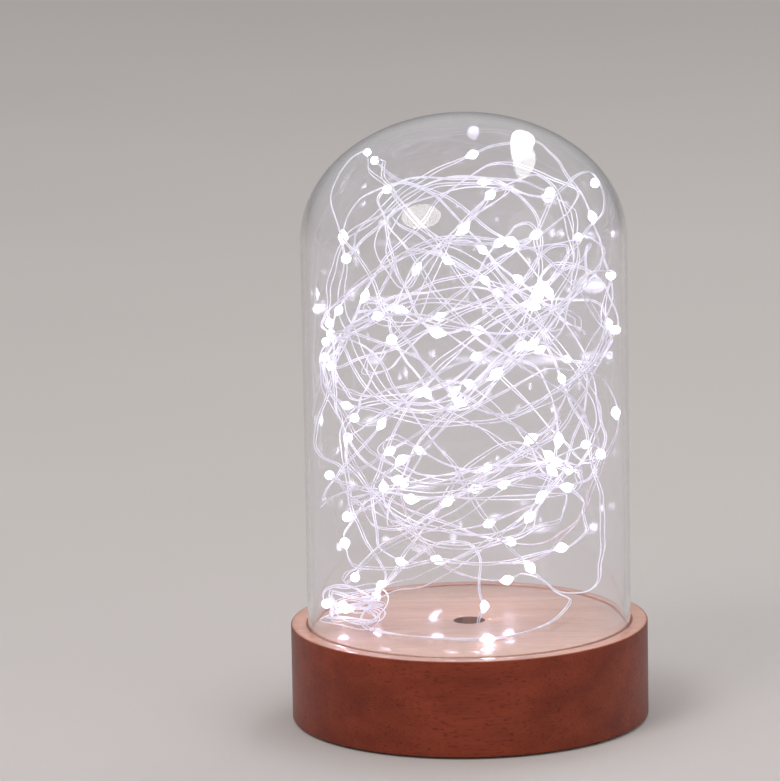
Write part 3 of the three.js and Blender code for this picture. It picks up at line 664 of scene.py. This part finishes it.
def straighten(points, marks, heap_start, rng):
    """Draws each stretch between two marks a little towards a straight line, so that it bends at them.
    The stretches on the wood and in the heap stay as they are."""
    lying = LYING_LENGTH / (ROUTE_STEP * MM)
    out = points.copy()
    for start, end in stretches(marks, len(points)):
        pull = rng.uniform(0, 0.2) if lying < start and end < heap_start else 0
        share = np.linspace(0, 1, end - start + 1)[:, None]
        line = points[start] * (1 - share) + points[end] * share
        out[start : end + 1] = points[start : end + 1] * (1 - pull) + line * pull
    return out


def wire_routes(rng):
    """The hidden stretch under the wood and the free wire above the hole, in metres, with the indices
    of the points where its beads sit."""
    hidden, shown = lead_in_points()
    lead = centripetal(hidden + shown, LEAD_STEPS)
    cut = LEAD_STEPS * (len(hidden) - 1)
    end = LOW_LOOPS + HIGH_LOOPS
    loops = np.arange(0, end, 1 / LOOP_STEPS)
    more = wide_loops(np.arange(end, end + EXTRA_LOOPS, 1 / LOOP_STEPS))
    down = [(-8, 45, 98), (-38, 24, 104), (-45, 6, 86), (-36, -3, 65), (-27, -4, 53)]
    coil = heap(np.arange(0, HEAP_TURNS, 1 / HEAP_STEPS))
    tail = centripetal([more[-9], more[-1], *down, coil[0], coil[4]], TAIL_STEPS)
    tail = tail[TAIL_STEPS:-TAIL_STEPS]
    free = np.vstack([lead[cut:-1], tangle(loops), more[:-1], tail[:-1], coil])
    heap_start = int((arc_lengths(free)[-1] - arc_lengths(coil)[-1]) / ROUTE_STEP)
    free = resample(free, ROUTE_STEP)
    marks = bead_marks(free * MM)
    along = arc_lengths(free)
    wobble = np.zeros_like(free)
    for length, size in ((61, 0.8), (37, 0.6), (23, 0.4), (13, 0.16)):
        for axis in range(3):
            phase = rng.uniform(0, 2 * math.pi)
            wobble[:, axis] += size * np.sin(2 * math.pi * along / (length + 4 * axis) + phase)
    wobble[:, 2] += 2.5 * np.sin(along / 53) + 1.5 * np.sin(along / 23)
    settle = ease((free[:, 2] - WOOD_TOP / MM - 3) / 5)[:, None]
    free = straighten((free + wobble * settle) * MM, marks, heap_start, rng)
    return lead[: cut + 1] * MM, keep_inside(free, WIRE_TO_GLASS), marks


def frames_along(points):
    """Unit vectors along and across a route, carried along it without twist."""
    tangents = np.gradient(points, axis=0)
    tangents /= np.linalg.norm(tangents, axis=1)[:, None]
    side = np.cross(tangents[0], (0.3, 0.2, 1.0))
    sides = []
    for tangent in tangents:
        side = side - tangent * np.dot(side, tangent)
        side = side / np.linalg.norm(side)
        sides.append(side)
    sides = np.array(sides)
    return tangents, sides, np.cross(tangents, sides)


def tube_mesh(routes, radius, sides):
    """Vertices and faces of closed tubes along several routes."""
    verts, faces = [], []
    turn = 2 * np.pi * np.arange(sides) / sides
    for route in routes:
        _, across, up = frames_along(route)
        first = len(verts)
        ring = np.cos(turn)[None, :, None] * across[:, None] + np.sin(turn)[None, :, None] * up[:, None]
        verts.extend((route[:, None] + radius * ring).reshape(-1, 3).tolist())
        for i in range(len(route) - 1):
            for j in range(sides):
                a = first + i * sides + j
                b = first + i * sides + (j + 1) % sides
                faces.append((a, b, b + sides, a + sides))
        last = first + (len(route) - 1) * sides
        faces.append(tuple(first + j for j in reversed(range(sides))))
        faces.append(tuple(last + j for j in range(sides)))
    return verts, faces


STRAND_RADIUS = 0.22 * MM
STRAND_APART = 0.26 * MM
STRAND_SIDES = 6
STRAND_TURN = 55  # radians that the two strands turn about each other, over a route's whole length
STRAND_BULGES = (0.1, 0.2, 0.4, 0.8, 1.3)  # how far each swings out between two beads, in millimetres


def strands(route, marks, rng):
    """Two strands side by side along a route, which part a little between the beads and meet at each."""
    along = arc_lengths(route)
    _, across, up = frames_along(route)
    turn = STRAND_TURN * along / along[-1] + 0.8 * np.sin(along * 31) + 0.6 * np.sin(along * 73 + 1)
    away = np.cos(turn)[:, None] * across + np.sin(turn)[:, None] * up
    bulge = np.zeros(len(route))
    lying = LYING_LENGTH / (ROUTE_STEP * MM)
    for start, end in stretches(marks, len(route)):
        share = np.linspace(0, 1, end - start + 1)
        size = rng.choice(STRAND_BULGES) * MM if start > lying else STRAND_BULGES[0] * MM
        swell = 1 + 0.35 * np.sin(share * 9 + rng.uniform(0, 6))
        bulge[start : end + 1] = size * np.abs(np.sin(np.pi * share)) ** 1.5 * swell
    offset = (STRAND_APART + bulge)[:, None] * away
    return [keep_inside(strand, 2 * STRAND_RADIUS) for strand in (route + offset, route - offset)]


def bead_marks(route):
    """Indices of the route's points where beads sit: at each bead of the frame and at the front of the
    wood, evenly between these, and evenly on to the wire's end."""
    along = arc_lengths(route)
    front = np.array([4.5 * MM, -34.6 * MM, WOOD_TOP + 2 * MM])
    boxes = [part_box(name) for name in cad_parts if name.startswith("led_bead")]
    places = [front] + [(np.array(low) + np.array(high)) / 2 for low, high in boxes]
    fixed = sorted(int(np.linalg.norm(route - place, axis=1).argmin()) for place in places)
    marks = []
    for start, end in zip(fixed, fixed[1:]):
        gaps = max(1, round((along[end] - along[start]) / BEAD_PITCH))
        marks += [start + (end - start) * k // gaps for k in range(gaps)]
    rest = BEAD_COUNT - len(marks)
    left = len(route) - 1 - fixed[-1]
    return marks + [fixed[-1] + left * k // rest for k in range(rest)]


def drops(route, marks, rng, half, fat, rings, sides):
    """Closed drops along a route at the marks: round in the middle and drawn out towards the strands."""
    tangents, across, up = frames_along(route)
    middles = keep_inside(route, BEAD_TO_GLASS)
    verts, faces = [], []
    for i in marks:
        size = rng.uniform(0.82, 1.08)
        lean = rng.uniform(0, 2 * math.pi)
        shift = 0.25 * fat * (math.cos(lean) * across[i] + math.sin(lean) * up[i])
        skew = rng.uniform(-0.5, 0.5)
        first = len(verts)
        for k in range(1, rings):
            x = -1 + 2 * k / rings
            radius = fat * size * (0.06 + 0.94 * (1 - abs(x) ** 1.35) * (1 + skew * x))
            middle = middles[i] + tangents[i] * half * size * x + shift * (1 - x * x)
            for j in range(sides):
                a = 2 * math.pi * j / sides
                verts.append(middle + radius * (math.cos(a) * across[i] + math.sin(a) * up[i]))
        for k in range(rings - 2):
            for j in range(sides):
                a, b = first + k * sides + j, first + k * sides + (j + 1) % sides
                faces.append((a, b, b + sides, a + sides))
        last = first + (rings - 2) * sides
        faces.append(tuple(first + j for j in reversed(range(sides))))
        faces.append(tuple(last + j for j in range(sides)))
    return verts, faces


def light_wire():
    rng = random.Random(WIRE_SEED)
    hidden, free, marks = wire_routes(rng)
    wire_shape = tube_mesh(strands(free, marks, rng), STRAND_RADIUS, STRAND_SIDES)
    wire = mesh_object("light_wire_strands", *wire_shape, WIRE, math.pi)
    bead_shape = drops(free, marks, rng, BEAD_HALF, BEAD_RADIUS, 14, 12)
    beads = mesh_object("resin_beads", *bead_shape, BEAD, math.pi)
    chip_shape = drops(free, marks, rng, CHIP_HALF, CHIP_RADIUS, 6, 8)
    chips = mesh_object("lit_chips", *chip_shape, CHIP, math.pi)
    inside_shape = tube_mesh(strands(hidden, [], rng), STRAND_RADIUS, STRAND_SIDES)
    inside = mesh_object("light_wire_under_wood", *inside_shape, WIRE, math.pi)
    bead_nodes = [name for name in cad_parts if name.startswith("led_bead")]
    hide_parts("light_wire")
    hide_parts("light_wire")
    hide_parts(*bead_nodes)
    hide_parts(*bead_nodes)
    for piece, slot in (
        (wire, "wire_coating"),
        (inside, "wire_coating"),
        (beads, "resin_bead"),
        (chips, "resin_bead"),
    ):
        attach(piece, "base")


# Feet: turned rubber pads with a soft edge
def feet():
    for i in range(1, 5):
        low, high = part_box(f"rubber_foot_{i}")
        x, y = (low[0] + high[0]) / 2, (low[1] + high[1]) / 2
        radius, height = (high[0] - low[0]) / 2, high[2]
        edge = 0.5 * MM
        dish = 0.12 * MM
        profile = [(0, dish), (radius * 0.55, dish), (radius * 0.7, 0)]
        profile += arc(radius - edge, edge, edge, -90, 0, 6)
        profile += [(radius, height), (0, height)]
        foot = lathe(f"foot_pad_{i}", profile, RUBBER, 48, place=(x, y, 0))
        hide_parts(f"rubber_foot_{i}")
        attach(foot, "base")


# Finishes of the pieces that stay as the frame has them
def finishes():
    rules = [
        ("battery_case", CASE_PLASTIC),
        ("battery_door", DOOR_PLASTIC),
        ("battery_", CELL),
        ("contact_", NICKEL),
        ("lead_positive", RED_PLASTIC),
        ("lead_negative", LEAD_BLACK),
        ("circuit_board", BOARD),
        ("driver_chip", CHIP_PLASTIC),
        ("resistor", CHIP_PLASTIC),
        ("capacitor", CAN),
        ("switch_body", SWITCH_STEEL),
        ("switch_slider", BLACK_PLASTIC),
        ("case_screw", STEEL),
        ("board_screw", STEEL),
    ]
    for name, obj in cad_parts.items():
        for start, material in rules:
            if name.startswith(start):
                obj.data.materials.clear()
                obj.data.materials.append(material)
                break


# Floor, lamps and world
FLOOR_COLOUR = (0.50, 0.47, 0.46)


def floor_material():
    s = Shader("pale_floor")
    shader = s.principled(Roughness=0.9)
    cloud = s.noise(s.place(), 3, 2)
    pale = tuple(c * 0.97 for c in FLOOR_COLOUR)
    s.wire(s.ramp(cloud, (0.3, pale), (0.7, FLOOR_COLOUR)), shader.inputs["Base Color"])
    return s.done(shader)


def stage():
    size = 9.0
    corners = [(-size, -size, 0), (size, -size, 0), (size, size, 0), (-size, size, 0)]
    floor = mesh_object("floor", corners, [(0, 1, 2, 3)], floor_material())


def area_light(name, place, aim, size, energy, colour=(1, 1, 1), up=(0, 0, 1), shines=False):
    """A soft lamp that faces a point. Its reflection shows only where it shines."""
    data = bpy.data.lights.new(name, "AREA")
    data.shape = "ELLIPSE"
    data.size, data.size_y = size
    data.energy = energy
    data.color = colour
    lamp = link(bpy.data.objects.new(name, data))
    back = (Vector(place) - Vector(aim)).normalized()
    across = Vector(up).cross(back).normalized()
    turn = Matrix((across, back.cross(across), back)).transposed()
    lamp.matrix_world = Matrix.Translation(place) @ turn.to_4x4()
    lamp.visible_glossy = shines


def strip_lights():
    """Two long lamps behind the lantern, which the dome's crown mirrors as one upright oblong."""
    crown = Vector((0.0195, -0.0279, 0.1956))
    away = Vector((0.353, 0.517, 0.780)).normalized()
    level = away.cross((0, 0, 1)).normalized()
    steep = level.cross(away)
    distance = 1.6
    brightness = 12.6  # watts to a square metre of lamp
    for name, x, y, turn, width, length in (
        ("strip_low", 0.13, 0.10, 43, 0.27, 1.22),
        ("strip_high", -0.22, -0.22, 53, 0.20, 1.17),
    ):
        middle = crown + distance * away + x * level + y * steep
        along = math.cos(math.radians(turn)) * level + math.sin(math.radians(turn)) * steep
        energy = brightness * width * length * math.pi / 4
        area_light(name, middle, crown, (width, length), energy, up=along, shines=True)


def lights():
    """Two broad soft lamps, the two long ones behind the lantern, and a soft sky."""
    area_light("key", (-0.9, -1.1, 1.5), (0, 0, 0.08), (0.9, 0.9), 18, (1, 0.97, 0.94))
    area_light("fill", (1.3, -0.9, 0.9), (0, 0, 0.1), (1.2, 1.2), 4, (1, 0.96, 0.94))
    strip_lights()
    world = bpy.data.worlds.new("studio")
    world.use_nodes = True
    tree = world.node_tree
    direction = tree.nodes.new("ShaderNodeTexCoord")
    parts = tree.nodes.new("ShaderNodeSeparateXYZ")
    sky = tree.nodes.new("ShaderNodeValToRGB")
    sky.color_ramp.elements[0].color = (0.42, 0.41, 0.41, 1)
    sky.color_ramp.elements[1].color = (1, 0.985, 0.97, 1)
    sky.color_ramp.elements[1].position = 0.6
    tree.links.new(direction.outputs["Generated"], parts.inputs[0])
    tree.links.new(parts.outputs["Z"], sky.inputs["Fac"])
    back = tree.nodes["Background"]
    tree.links.new(sky.outputs["Color"], back.inputs["Color"])
    back.inputs["Strength"].default_value = 0.7
    bpy.context.scene.world = world


wood_base()
glass_dome()
light_wire()
feet()
finishes()
stage()
lights()
bpy.context.scene.view_settings.view_transform = "Standard"
